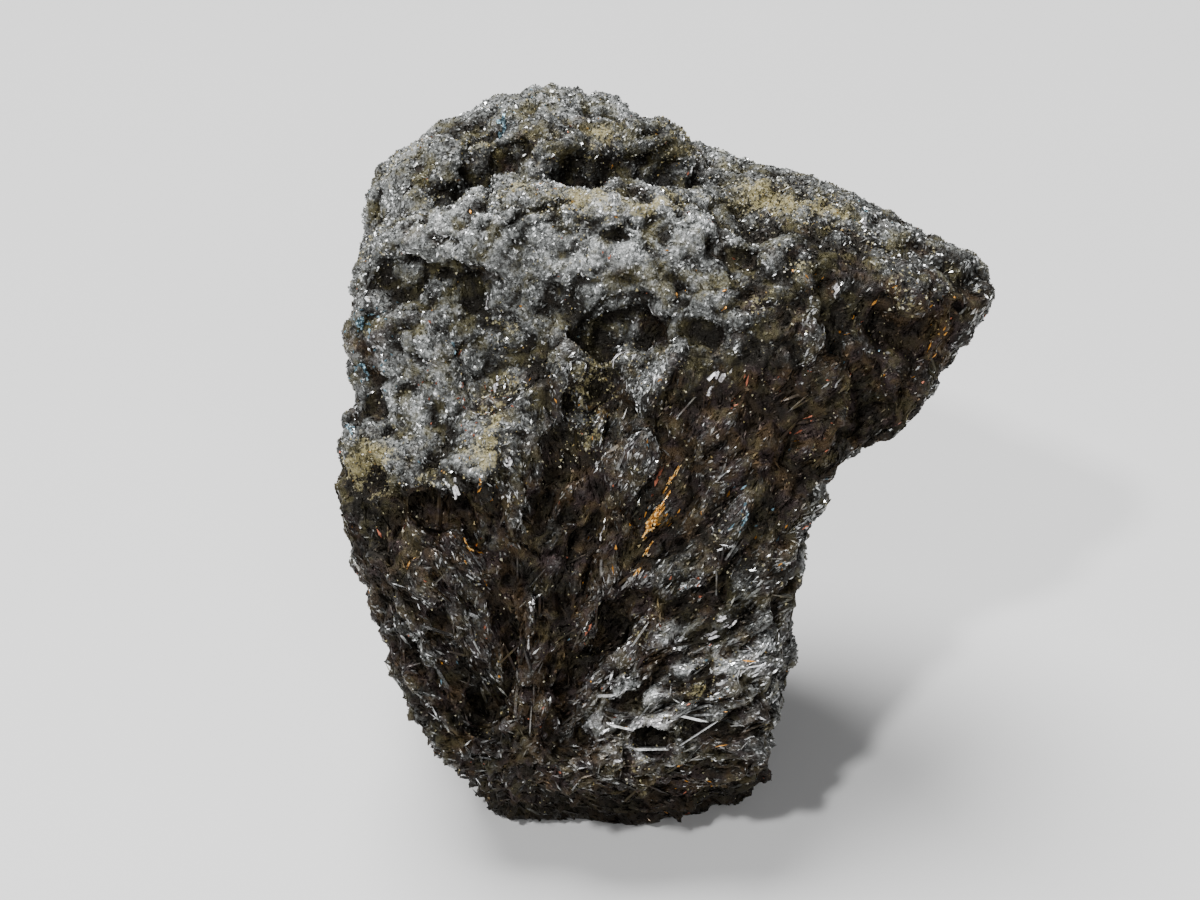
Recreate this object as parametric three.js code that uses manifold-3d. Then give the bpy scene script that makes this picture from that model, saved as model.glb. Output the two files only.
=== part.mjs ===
// A stibnite cluster: one broken lump of grey metallic needles that spray up and out of a single root.
// Units are millimetres. +Z is up, +X is the side with the beak, and -Y is the broken front.
import * as THREE from "three";
import { ConvexGeometry } from "three/addons/geometries/ConvexGeometry.js";
import { ImprovedNoise } from "three/addons/math/ImprovedNoise.js";
import { mergeVertices } from "three/addons/utils/BufferGeometryUtils.js";
import Module from "manifold-3d";

const wasm = await Module();
wasm.setup();

const vec = (x, y, z) => new THREE.Vector3(x, y, z);

// Where the needles spray from, low behind the broken front.
const ROOT = vec(-7, -13, 8);

// How softly the broken faces of one mass, and the masses, run into each other.
const EDGE_SOFTNESS = 0.9;
const JOIN_SOFTNESS = 1.2;

// The masses of the lump. Each is bounded by broken faces: an outward direction and a point on the face.
const face = (out, at) => ({ out: out.normalize(), at });
const MASSES = {
  trunk: {
    front: face(vec(-0.05, -0.88, 0.42), vec(0, -18.3, 12)),
    frontUnderside: face(vec(0.05, -0.88, -0.47), vec(0, -18, 9.5)),
    frontLeftFoot: face(vec(-0.55, -0.65, -0.52), vec(-10.6, -12.6, 3)),
    frontRightFoot: face(vec(0.35, -0.72, -0.6), vec(9, -14, 2)),
    left: face(vec(-1, -0.05, -0.02), vec(-20, 0, 33)),
    lowerLeft: face(vec(-0.9, -0.15, -0.42), vec(-17.8, -6, 14)),
    right: face(vec(1, -0.05, -0.05), vec(15.7, 0, 12)),
    back: face(vec(0.1, 0.95, -0.25), vec(0, 23.5, 45)),
    backLeft: face(vec(-0.7, 0.7, -0.1), vec(-17.6, 16.6, 40)),
    top: face(vec(0.3, 0.1, 0.95), vec(-4, 14, 55.2)),
    topRight: face(vec(0.45, 0.1, 0.88), vec(8, 14, 51.4)),
    frontShoulder: face(vec(0.05, -0.55, 0.83), vec(-5, 0, 50.5)),
    topLeft: face(vec(-0.27, 0.12, 0.95), vec(-8, 14, 54)),
    farLeft: face(vec(-0.7, 0.1, 0.7), vec(-17.6, 12, 51.3)),
    backFoot: face(vec(0.05, 0.62, -0.78), vec(0, 13, 0)),
    leftFoot: face(vec(-0.75, 0.1, -0.65), vec(-11, 4, 0)),
    rightFoot: face(vec(0.7, 0.15, -0.7), vec(11, 4, 0)),
    foot: face(vec(0, 0, -1), vec(0, 0, -4)),
  },
  leftLedge: {
    left: face(vec(-0.97, -0.2, -0.1), vec(-20.6, -6, 30)),
    upper: face(vec(-0.3, -0.5, 0.8), vec(-16, -12, 33.6)),
    lower: face(vec(-0.2, -0.65, -0.7), vec(-18, -12.2, 26)),
    front: face(vec(-0.1, -0.92, 0.35), vec(-15, -13, 30)),
    right: face(vec(0.5, -0.8, 0.3), vec(-9, -12, 32)),
    back: face(vec(0, 1, 0), vec(-12, -2, 32)),
  },
  neck: {
    right: face(vec(0.957, -0.05, -0.29), vec(14.2, -12, 21)),
    front: face(vec(-0.05, -0.88, 0.42), vec(0, -17, 12)),
    top: face(vec(0.1, 0, 1), vec(15, 0, 44)),
    back: face(vec(0.2, 1, 0), vec(15, 12, 35)),
    innerEnd: face(vec(-1, 0, 0), vec(8, 0, 35)),
    foot: face(vec(0, 0, -1), vec(15, 0, 17)),
  },
  beak: {
    top: face(vec(0.26, 0.1, 0.96), vec(27, 11, 46.8)),
    underside: face(vec(0.78, -0.15, -0.6), vec(31.9, 5, 40.6)),
    underLobe: face(vec(0.1, -0.5, -0.86), vec(24, -5, 34.8)),
    front: face(vec(-0.05, -0.88, 0.42), vec(0, -17.3, 12)),
    frontRight: face(vec(0.66, -0.7, -0.1), vec(27.6, -1, 43)),
    back: face(vec(0.45, 0.89, 0), vec(25, 15, 40)),
    tip: face(vec(1, 0, 0.15), vec(36.5, 5, 43)),
    innerEnd: face(vec(-1, 0, 0), vec(14, 0, 35)),
  },
};

// The lumps, ledges, cracks and pits on those faces. Each swells or sinks the surface along a line
// between two points, to the given height, and fades out over the given reach.
const swell = (from, to, reach, height) => ({ line: new THREE.Line3(from, to), reach, height });
const RELIEF = {
  crownBehindCrack: swell(vec(-14, 15, 51.5), vec(3, 17, 53), 5, 1.1),
  crownPeak: swell(vec(-5, 20, 54), vec(-2, 20, 54), 3, 1),
  crownCrackLeft: swell(vec(-15, 7.5, 52), vec(-6, 9, 54), 1.7, -2.2),
  crownPit: swell(vec(-10.5, 8.3, 53), vec(-9, 8.7, 53.5), 1.9, -2.2),
  crownHollow: swell(vec(-2.5, 8, 54), vec(5, 11, 52), 1.9, -2.3),
  shoulderRidge: swell(vec(-15, 3.5, 51), vec(3, 5, 52), 2.6, 1),
  matrixPatch: swell(vec(3, 8, 52.5), vec(5.5, 7.5, 51.5), 1.8, 1.2),
  matrixSaddle: swell(vec(12, 11, 49), vec(17, 11, 48.5), 2.6, 0.5),
  shoulderRecess: swell(vec(-17.5, 0.5, 48.5), vec(-12, -0.5, 47), 2.2, -2),
  rimGroove: swell(vec(-18.8, -1.5, 47), vec(-19.6, -4.5, 38), 1.1, -1.4),
  rightSlit: swell(vec(12.6, 4.5, 49.5), vec(11.6, 2, 48.5), 1.1, -2),
  hollowDiagonal: swell(vec(-8, -4.2, 42.5), vec(-4.2, -2, 46), 1.7, -1.6),
  middlePits: swell(vec(0.5, -3, 44), vec(3.5, -2.7, 45), 1.4, -1.6),
  middleLedge: swell(vec(-4, -3.5, 42.5), vec(5, -4, 42.5), 1.8, 0.8),
  orangePit: swell(vec(-1.3, -5, 40), vec(0, -5, 40.2), 1.5, -2),
  ledgeCrest: swell(vec(-19, -9.5, 36), vec(-10, -9.5, 37), 2.4, 0.7),
  ledgeRecess: swell(vec(-18, -11, 31.5), vec(-9.5, -13, 33), 2, -1.7),
  frontLump: swell(vec(-6.5, -12, 28), vec(-4.5, -12, 28.5), 2.8, 1.3),
  frontLumpShadow: swell(vec(-7, -10, 32.5), vec(-2.5, -9.5, 33), 1.6, -1.2),
  grooveLow: swell(vec(-9.5, -15.5, 15.5), vec(-8.8, -14, 22), 1.2, -1.5),
  grooveHigh: swell(vec(-9.2, -14, 25), vec(-9.2, -13.5, 31), 1.2, -1.5),
  grooveDiagonal: swell(vec(-3.5, -17, 14), vec(1.8, -13, 24), 1.2, -1.6),
  grooveMiddle: swell(vec(2.5, -12, 26.5), vec(6.5, -8, 35), 1.2, -1.2),
  fanRidge: swell(vec(-1.5, -17.4, 12), vec(10.5, -15.5, 18.5), 2.1, 1.1),
  fanRidgeAbove: swell(vec(2, -15.5, 19.5), vec(11, -13.5, 24), 1.7, 0.8),
  fanGroove: swell(vec(0, -16.5, 15.5), vec(11, -14.5, 21.5), 1, -0.9),
  fanPit: swell(vec(3, -17.4, 13.6), vec(4, -17.4, 14), 1.5, -1.5),
  lowRightLedge: swell(vec(2, -18, 9.5), vec(13, -16.5, 11.5), 1.8, 0.8),
  beakPit: swell(vec(23.2, -1.5, 43.8), vec(24.6, -1, 43.8), 2.2, -2.8),
  tipPit: swell(vec(29.4, 4, 44.4), vec(31, 5.2, 44.2), 1.6, -1.8),
  lobeGroove: swell(vec(21.6, -3.6, 41), vec(21.9, -6, 34.5), 1.5, -2.6),
  lobe: swell(vec(24.6, -3.6, 36.5), vec(24.2, -3, 38), 2.6, 1.2),
  beakCrest: swell(vec(18.5, 12, 48), vec(23.5, 12, 47.5), 2.8, 1.6),
  beakSaddle: swell(vec(26.5, 9, 46.5), vec(26.5, 6, 46.5), 1.4, -0.9),
  backLedge: swell(vec(-12, 22.5, 34), vec(8, 22, 32), 2.6, 1.6),
  backHollow: swell(vec(-9, 21, 27), vec(9, 20, 25), 2.8, -1.6),
  backCrack: swell(vec(2, 24, 46), vec(5, 20, 20), 1.3, -1.7),
  rightHollow: swell(vec(16.5, 2, 22), vec(17, 10, 27), 2.6, -1.2),
};

// The bundles of needles show as long low ridges that run away from the root, their width an angle there.
const BUNDLE_ANGLE = 0.16;
const BUNDLE_HEIGHT = 1.5;
const FULL_BUNDLE_DISTANCE = 22;
const LUMP_SIZE = 7;
const LUMP_HEIGHT = 1.1;

// The skin of the lump starts as a sphere that is drawn in until it lies on the faces.
const START_RADIUS = 45;
const START_CENTRE = vec(2, 2, 28);
const SPHERE_DETAIL = 15;
const WRAP_ROUNDS = 60;
const EVENNESS = 0.5;
const STEEPEST_STEP = 0.3;
const PROBE = 0.05;
const HALVINGS = 30;

// The single crystals: how many are tried, their sizes, and how far their tips stand out of the lump.
const CRYSTALS = 170;
const CRYSTAL_LENGTH = [7, 12];
const CRYSTAL_WIDTH = [1.2, 2.2];
const CRYSTAL_FLATNESS = 0.6;
const TIP_LENGTH = 1.4;
const TIP_PROUD = [0.5, 1.1];
const LEAST_RISE = 0.1;
const FOOT_DEPTH = 0.4;
const SPREAD = 0.12;
const LOWEST_CRYSTAL = 5;
const STEEPEST_OVERHANG = -0.45;
const SEED = 11;

const WELD = 1e-3;
const FLOOR_SIZE = 200;
const FLOOR_DEPTH = 50;

const random = THREE.MathUtils.seededRandom;
const between = ([low, high]) => low + (high - low) * random();
const noise = new ImprovedNoise();

// Smooth maximum and minimum of a list of distances.
const softMax = (values, softness) => {
  const top = Math.max(...values);
  return top + softness * Math.log(values.reduce((sum, v) => sum + Math.exp((v - top) / softness), 0));
};
const softMin = (values, softness) => -softMax(values.map((v) => -v), softness);

const massDistance = (faces, p) => {
  const distances = Object.values(faces).map(({ out, at }) => out.dot(p) - out.dot(at));
  return softMax(distances, EDGE_SOFTNESS);
};

function field(p) {
  return softMin(Object.values(MASSES).map((faces) => massDistance(faces, p)), JOIN_SOFTNESS);
}

function slope(p) {
  const at = (x, y, z) => field(vec(p.x + x, p.y + y, p.z + z));
  return vec(
    at(PROBE, 0, 0) - at(-PROBE, 0, 0),
    at(0, PROBE, 0) - at(0, -PROBE, 0),
    at(0, 0, PROBE) - at(0, 0, -PROBE),
  ).divideScalar(2 * PROBE);
}

function bare(geometry) {
  geometry.deleteAttribute("normal");
  geometry.deleteAttribute("uv");
  return mergeVertices(geometry, WELD);
}

function neighboursOf(geometry) {
  const near = Array.from({ length: geometry.attributes.position.count }, () => new Set());
  const index = geometry.index.array;
  for (let i = 0; i < index.length; i += 3) {
    const [a, b, c] = index.subarray(i, i + 3);
    near[a].add(b).add(c);
    near[b].add(a).add(c);
    near[c].add(a).add(b);
  }
  return near.map((set) => [...set]);
}

// A number from 0 to 1 that always comes out the same for the same cell.
const SCATTER_STEPS = vec(127.1, 311.7, 74.7);
const SCATTER_SALT = 269.5;
const SCATTER_SPREAD = 43758.5453;
const scatter = (cell, salt) => {
  const s = Math.sin(cell.dot(SCATTER_STEPS) + salt * SCATTER_SALT) * SCATTER_SPREAD;
  return s - Math.floor(s);
};

// The steps from a cell to itself and to the cells all round it.
const STEPS = [-1, 0, 1];
const CELLS_AROUND = STEPS.flatMap((x) => STEPS.flatMap((y) => STEPS.map((z) => vec(x, y, z))));

// How far a direction is inside its bundle: 0 in the groove between two, and about 1 on the crest.
function bundleCrest(direction) {
  const p = direction.clone().divideScalar(BUNDLE_ANGLE);
  const home = p.clone().floor();
  const distances = CELLS_AROUND.map((step) => {
    const cell = home.clone().add(step);
    return vec(scatter(cell, 1), scatter(cell, 2), scatter(cell, 3)).add(cell).distanceTo(p);
  });
  const [nearest, second] = distances.sort((a, b) => a - b);
  return Math.min(1, (second - nearest) * 2);
}

// How far the surface stands out of the plain broken faces at a point on them.
function relief(p) {
  const fromRoot = p.clone().sub(ROOT);
  const bundleHeight = BUNDLE_HEIGHT * Math.min(1, fromRoot.length() / FULL_BUNDLE_DISTANCE);
  const bundles = (bundleCrest(fromRoot.normalize()) - 0.5) * bundleHeight;
  const lumps = noise.noise(p.x / LUMP_SIZE, p.y / LUMP_SIZE, p.z / LUMP_SIZE) * LUMP_HEIGHT;
  return Object.values(RELIEF).reduce((sum, { line, reach, height }) => {
    const distance = line.closestPointToPoint(p, true, vec()).distanceTo(p) / reach;
    return sum + height * Math.exp(-distance * distance);
  }, bundles + lumps);
}

// A point of the plain faces moved out to the broken surface, and the direction in which it moved.
function broken(p) {
  const out = slope(p).normalize();
  return { point: p.clone().addScaledVector(out, relief(p)), out };
}

function shrinkWrap() {
  const geometry = bare(new THREE.IcosahedronGeometry(START_RADIUS, SPHERE_DETAIL));
  const near = neighboursOf(geometry);
  const position = geometry.attributes.position;
  let points = near.map((_, i) => vec().fromBufferAttribute(position, i).add(START_CENTRE));
  for (let round = 0; round < WRAP_ROUNDS; round++) {
    points = points.map((p, i) => {
      const sum = near[i].reduce((total, j) => total.add(points[j]), vec(0, 0, 0));
      return p.clone().lerp(sum.divideScalar(near[i].length), EVENNESS);
    });
    for (const p of points) {
      const g = slope(p);
      p.addScaledVector(g, -field(p) / Math.max(g.lengthSq(), STEEPEST_STEP));
    }
  }
  points.forEach((p, i) => position.setXYZ(i, ...broken(p).point));
  return geometry;
}

// A crystal along +Y with four flat sides, lozenge-shaped across, and a sharp tip at the origin.
function crystalGeometry(width, length) {
  const side = width / 2;
  const flat = side * CRYSTAL_FLATNESS;
  const ring = (y) => [vec(side, y, 0), vec(0, y, flat), vec(-side, y, 0), vec(0, y, -flat)];
  return bare(new ConvexGeometry([...ring(-length), ...ring(-TIP_LENGTH), vec(0, 0, 0)]));
}

// Where a ray from the middle of the lump leaves the plain faces.
function surfaceAlong(direction) {
  let inside = 0;
  let outside = START_RADIUS * 2;
  for (let i = 0; i < HALVINGS; i++) {
    const middle = (inside + outside) / 2;
    const isInside = field(START_CENTRE.clone().addScaledVector(direction, middle)) < 0;
    inside = isInside ? middle : inside;
    outside = isInside ? outside : middle;
  }
  return START_CENTRE.clone().addScaledVector(direction, inside);
}

// A crystal that points away from the root, with its tip proud of the surface and its foot in the lump.
function crystalAt(direction) {
  const { point, out } = broken(surfaceAlong(direction));
  const jitter = vec(random() - 0.5, random() - 0.5, random() - 0.5).multiplyScalar(2 * SPREAD);
  const axis = point.clone().sub(ROOT).normalize().add(jitter).normalize();
  axis.addScaledVector(out, Math.max(0, LEAST_RISE - axis.dot(out))).normalize();
  const across = vec().crossVectors(axis, out).normalize();
  const flat = vec().crossVectors(across, axis);
  const tip = point.clone().addScaledVector(out, between(TIP_PROUD));
  const place = new THREE.Matrix4().makeBasis(across, axis, flat).setPosition(tip);
  place.multiply(new THREE.Matrix4().makeRotationY(random() - 0.5));
  const length = between(CRYSTAL_LENGTH);
  const foot = tip.clone().addScaledVector(axis, -length);
  const geometry = crystalGeometry(between(CRYSTAL_WIDTH), length).applyMatrix4(place);
  return { point, out, foot, geometry };
}

// Directions spread evenly over a sphere.
function evenDirection(i, count) {
  const turn = i * Math.PI * (3 - Math.sqrt(5));
  return vec().setFromSphericalCoords(1, Math.acos(1 - (2 * i + 1) / count), turn);
}

// A crystal is kept where it clears the ground and its foot is well inside the lump.
function isRooted({ point, out, foot }) {
  return point.z > LOWEST_CRYSTAL && out.z > STEEPEST_OVERHANG && field(foot) < relief(foot) - FOOT_DEPTH;
}

function crystals() {
  random(SEED);
  const tried = Array.from({ length: CRYSTALS }, (_, i) => crystalAt(evenDirection(i, CRYSTALS)));
  return tried.filter(isRooted).map(({ geometry }) => geometry);
}

function solidOf(geometry) {
  return new wasm.Manifold(
    new wasm.Mesh({
      numProp: 3,
      vertProperties: geometry.attributes.position.array,
      triVerts: new Uint32Array(geometry.index.array),
    }),
  );
}

function geometryOf(solid) {
  const mesh = solid.getMesh();
  return new THREE.BufferGeometry()
    .setAttribute("position", new THREE.BufferAttribute(mesh.vertProperties, mesh.numProp))
    .setIndex(new THREE.BufferAttribute(mesh.triVerts, 1));
}

// The outer skin alone, without the tiny voids that crystals close in where they cross.
function largestBody(solid) {
  return solid.decompose().reduce((largest, body) => (body.volume() > largest.volume() ? body : largest));
}

// The lump with its crystals, cut off flat where it rests.
function clusterGeometry() {
  const floor = new THREE.BoxGeometry(FLOOR_SIZE, FLOOR_SIZE, FLOOR_DEPTH);
  floor.translate(0, 0, -FLOOR_DEPTH / 2);
  const lump = crystals().reduce((solid, crystal) => solid.add(solidOf(crystal)), solidOf(shrinkWrap()));
  return geometryOf(largestBody(lump.subtract(solidOf(bare(floor)))));
}

// The origin is under the middle of the cluster, on the surface it rests on.
function centred(geometry) {
  geometry.computeBoundingBox();
  const middle = geometry.boundingBox.getCenter(vec());
  return geometry.translate(-middle.x, -middle.y, 0);
}

const stibnite = new THREE.MeshStandardMaterial({ color: 0x3a3836, roughness: 0.4, metalness: 0.8 });
const cluster = new THREE.Mesh(centred(clusterGeometry()), stibnite);
cluster.name = "stibnite_cluster";

const group = new THREE.Group();
group.add(cluster);
export default group;
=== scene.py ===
# A stibnite cluster: the broken lump, the felt of small needles on it, and the pale dust in its cracks.
import itertools
import math

import bmesh
import bpy
import numpy as np
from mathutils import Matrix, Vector
from mathutils.bvhtree import BVHTree


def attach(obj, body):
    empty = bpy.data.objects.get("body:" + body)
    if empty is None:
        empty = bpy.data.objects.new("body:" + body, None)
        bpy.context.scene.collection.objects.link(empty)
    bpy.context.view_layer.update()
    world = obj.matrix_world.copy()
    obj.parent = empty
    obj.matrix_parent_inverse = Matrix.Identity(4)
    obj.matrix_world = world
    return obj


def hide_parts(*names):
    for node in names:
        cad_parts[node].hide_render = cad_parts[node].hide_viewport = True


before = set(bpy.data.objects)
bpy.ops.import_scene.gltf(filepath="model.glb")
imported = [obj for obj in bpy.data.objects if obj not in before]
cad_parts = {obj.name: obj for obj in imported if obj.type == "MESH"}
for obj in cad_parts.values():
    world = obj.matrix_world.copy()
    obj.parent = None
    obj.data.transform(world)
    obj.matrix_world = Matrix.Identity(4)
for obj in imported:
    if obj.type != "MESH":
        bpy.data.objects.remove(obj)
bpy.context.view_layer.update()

MM = 0.001
SEED = 20
random = np.random.default_rng(SEED)

# Lengths up to the materials are in millimetres, and are scaled as each mesh is written.

# Where the needles of the broken front spray from, where those of the back do, and how far back the one
# gives way to the other.
ROOT = np.array([-12.4, -16.1, 8.0])
BACK_ROOT = np.array([-4, 13, -8])
BACK_BAND = (4, 14)

# The view of the photograph.
VIEW_TARGET = Vector((-5.4, -3.1, 31.4)) * MM
VIEW_DISTANCE = 197 * MM
VIEW_DOWN = math.radians(36)
LENS = 70
SENSOR = 36

# The lump's skin, first coarse for the crags and cracks and then fine for the grain. Its relief fades out
# towards the floor.
COARSE_VOXEL = 0.5
VOXEL = 0.365
SOFTENING_ROUNDS = 4
BASE_FADE = 1.5

# Painted shade in the colour: the foot, fading upward, the cracks, from how deep they start, and the
# hollows between the crags, which rounds of smoothing tell from the crags.
FOOT_SHADE = 1.6
FOOT_SHADE_BAND = (1, 12)
CRACK_START = 0.4
CRACK_SHADE_BAND = (0.1, 1.1)
HOLLOW_ROUNDS = 40
HOLLOW_DEPTH = 0.4
HOLLOW_SHADE = 0.6

# The felt: a few large pieces, each of the same number of small needles.
FELT_PIECES = 4
NEEDLES_IN_A_PIECE = 30000
FELT = {
    "width": (0.16, 0.36),
    "lying": (0.4, 1.3),
    "grain": (0.26, 0.6),
    "proud": (0.04, 0.18),
    "sink": (-0.04, 0.06),
    "lean": 0.3,
    "tumble": 0.9,
}

# The blades: fewer and larger, and they make the streaks and the sparkle.
BLADES = 4200
BLADE = {
    "width": (0.18, 0.4),
    "lying": (0.9, 3.2),
    "grain": (0.35, 0.8),
    "proud": (0.06, 0.24),
    "sink": (0.0, 0.28),
    "lean": 0.18,
    "tumble": 0.9,
}
# Every needle: how thin it is for its width, how much of it is its tip, how far from its tip a splinter is
# thickest, how flat it is pressed where needles lie in streaks, and its least length.
FLATNESS = 0.7
TIP_SHARE = 0.22
BELT = 0.35
PRESSED = 0.93
LEAST_LENGTH = 0.2

# Each bundle leans its own way, by a sine of its number for each axis.
BUNDLE_LEAN = 0.26
LEAN_TURNS = (61, 97, 139)

# Needles are thinner on the ground where shade is painted, and keep clear of the floor.
THINNED = 0.25
FOOT_CLEAR = 0.3
LEAST_HEIGHT = 0.02

# Where the lump is broken into grains: above a slope, given by its height at a place on the left, its rise to
# the right and how softly it ends, and where the needles' ends face outward far enough from the root.
GRAIN_LEVEL = 34.5
GRAIN_LEVEL_AT = -25
GRAIN_RISE = 0.42
GRAIN_BAND = (-8, 5)
END_FACING = (0.35, 0.75)
END_REACH = (18, 30)
END_BAND = (-0.4, 0.2)

# Layers of noise, each with a size, a strength, and a number that makes its pattern its own.
END_PATCHES = ((7, 1, 83), (2.5, 0.4, 84))
GRAIN_EDGE = ((4, 3.5, 80), (1.5, 3, 81))
GRAIN_EDGE_BEHIND = ((9, 9, 82),)
SWELLS = ((5, 0.4, 33),)
CRAG_WOBBLE = ((1.6, 0.35, 85),)
BUMPS = ((3, 0.3, 35),)
GRAINS = ((0.8, 0.24, 40),)
VALLEY_PATCHES = ((5.5, 1, 92),)
PIT_PATCHES = ((6, 1, 91),)
DUST_CLOUDS = ((3.5, 1, 70), (1.3, 0.6, 71))

# How what is drawn at a point wanders, as a size and an amount.
WANDER_PATTERNS = (86, 87, 88)
CRAG_WANDER = (2.5, 0.6)
BUNDLE_WANDER = (5, 1.6)
ZONE_WANDERS = ((2.2, 1.3), (0.8, 0.5))

# Streaks along the needles have their stated width at this distance from the root. Their length runs one way
# in the space of the noise.
STREAK_DISTANCE = 30
STREAK_WAY = np.array([0.62, 0.54, 0.57])

# Ridges along the needles: a width, a length and a pattern, the softness and depth of the seams between them,
# and how unevenly high they stand.
BUNDLES = {"streaks": (3.2, 8), "pattern": 10, "edge": 0.3, "seam": 0.7, "uneven": 0.8}
RIDGES = {"streaks": (1.2, 4), "pattern": 20, "edge": 0.35, "seam": 0.4, "uneven": 0.5}
RIDGE_TOP = 0.7
RIDGE_IN_GRAINS = 0.3
FIBRES = {"streaks": (0.8, 4), "pattern": 30, "height": 0.14}
BRIGHT_STREAKS = {"streaks": (0.7, 5), "pattern": 90}

# Sharp grooves along the needles, and valleys between the grains, each with a width, a depth and a pattern.
GROOVES = ((3.4, 1.1, 45), (1.6, 0.6, 46))
GROOVE_LENGTH = 6
GROOVE_SHARPNESS = 4
VALLEYS = ((2.6, 0.6, 43), (1.4, 0.5, 44))
VALLEY_SHARPNESS = 5
VALLEY_BAND = (-0.8, 0.1)

# Pits, which take a share of cells of a size.
WIDE_PITS = {"size": 2.8, "share": 0.2, "pattern": 50}
WIDE_PIT_DEPTH = 0.7
SMALL_PITS = {"size": 1.5, "share": 0.22, "pattern": 60}
SMALL_PIT_DEPTH = 0.65
PIT_BAND = (-0.2, 0.5)
PIT_RIM = (0.04, 0.4)
PIT_WARP = 0.25
PIT_WARP_SCALE = 1.7

# How strong each is among the streaks, where there are no grains.
BUMPS_IN_STREAKS = 0.3
GRAINS_IN_STREAKS = 0.4
VALLEYS_IN_STREAKS = 0.15
PITS_IN_STREAKS = 0.3

# Crags, and below them the dark cracks and pits, each from one point to another, with a reach and a height.
CRAGS = [
    ((13.5, 7, 49.7), (15.5, 6.6, 49), 1.3, 0.9),
    ((20.5, 5, 46.8), (24.5, 3.6, 46), 1.6, 1.1),
    ((10, 8.5, 50.4), (11.8, 7.5, 50.2), 1.0, -0.8),
    ((-16, 8.5, 52.8), (-10, 9.5, 54.3), 2.0, 0.8),
    ((-6, 9.8, 55), (2, 12, 53), 2.2, 0.6),
    ((2, 12, 53), (7, 13, 51), 2.2, 0.5),
    ((-25.5, -10, 35.6), (-21, -11.5, 36.6), 1.3, 0.7),
    ((-20, -12, 36.6), (-15, -13.2, 35.6), 1.3, 0.6),
    ((-19, -15, 29), (-18, -17, 20), 1.6, 0.6),
    ((-5.5, 3.4, 54.4), (-1.5, 2.8, 54.4), 1.5, -0.9),
    ((-19, 5.6, 51.3), (-15.5, 6.6, 52), 0.9, -2.0),
    ((-15.3, 8, 52.6), (-14, 8.1, 52.8), 1.8, -3.0),
    ((-13, 6, 53), (-9, 5.5, 53.2), 0.8, -1.6),
    ((-8, 6.2, 53), (1, 9, 51.6), 1.4, -3.0),
    ((1, 9, 51.5), (4, 10, 50.3), 1.0, -1.5),
    ((-22.5, -0.8, 48.6), (-20.6, -1.3, 48.4), 0.9, -1.2),
    ((-19.2, -1.7, 48), (-17.4, -2.2, 47.7), 0.9, -1.4),
    ((-16.2, -2.9, 47.2), (-13.8, -3.6, 47.2), 0.8, -1.1),
    ((-22, -2, 46), (-15, -4, 45), 1.5, -0.6),
    ((7.4, 2.6, 49.5), (6.2, -2, 49), 0.7, -1.8),
    ((-9, -4, 47), (-5.5, -5.8, 44.5), 1.3, -1.4),
    ((-4, -5, 44), (-1, -4.2, 44.7), 1.0, -1.4),
    ((2, -6, 46), (3.5, -6, 45), 0.9, -1.2),
    ((-6.5, -7.6, 40.3), (-5, -8.2, 40.6), 1.1, -1.2),
    ((-18.8, -16.5, 28), (-17.5, -17, 18), 0.8, -1.8),
    ((-23.6, -12, 34.4), (-19.5, -13.3, 33.6), 0.9, -1.3),
    ((-18.4, -13.7, 32.8), (-15.2, -14.3, 31.2), 1.1, -1.5),
    ((-15.4, -18.6, 14.5), (-13.2, -16.4, 21), 0.9, -2.2),
    ((-12.5, -15.5, 27), (-10.5, -12.5, 32), 0.8, -1.2),
    ((-9, -20.8, 12.5), (-5.4, -16.4, 21.5), 0.9, -2.2),
    ((-5.4, -16.4, 21.5), (-1, -15.4, 26.5), 0.8, -1.6),
    ((-2.6, -20.7, 14), (-1.4, -20.7, 14.4), 1.1, -1.6),
    ((17.3, -4.6, 44.2), (19.4, -4.4, 43.6), 1.7, -2.0),
    ((25.5, 1.4, 45), (27, 2.4, 44.8), 1.1, -1.5),
    ((16.4, -7, 37), (16.6, -6.8, 40.5), 1.2, -2.0),
]

# Crumbs of pale matrix that cling in the cracks and hollows: how many places are tried, the share kept in
# dusty places, in clouds and elsewhere, their size, how uneven they are, and how they sit.
CRUMB_TRIES = 210000
CRUMB_SHARE = 0.4
CRUMBS_IN_CLOUDS = 0.12
CRUMBS_ELSEWHERE = 0.01
CLOUD_BAND = (0.1, 0.7)
CRUMB_SIZE = (0.08, 0.26)
CRUMB_UNEVEN = (0.9, 1.4)
CRUMB_OUT = 0.2
CRUMB_TIP = 0.4
CRUMB_FLOOR = 1.0
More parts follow.
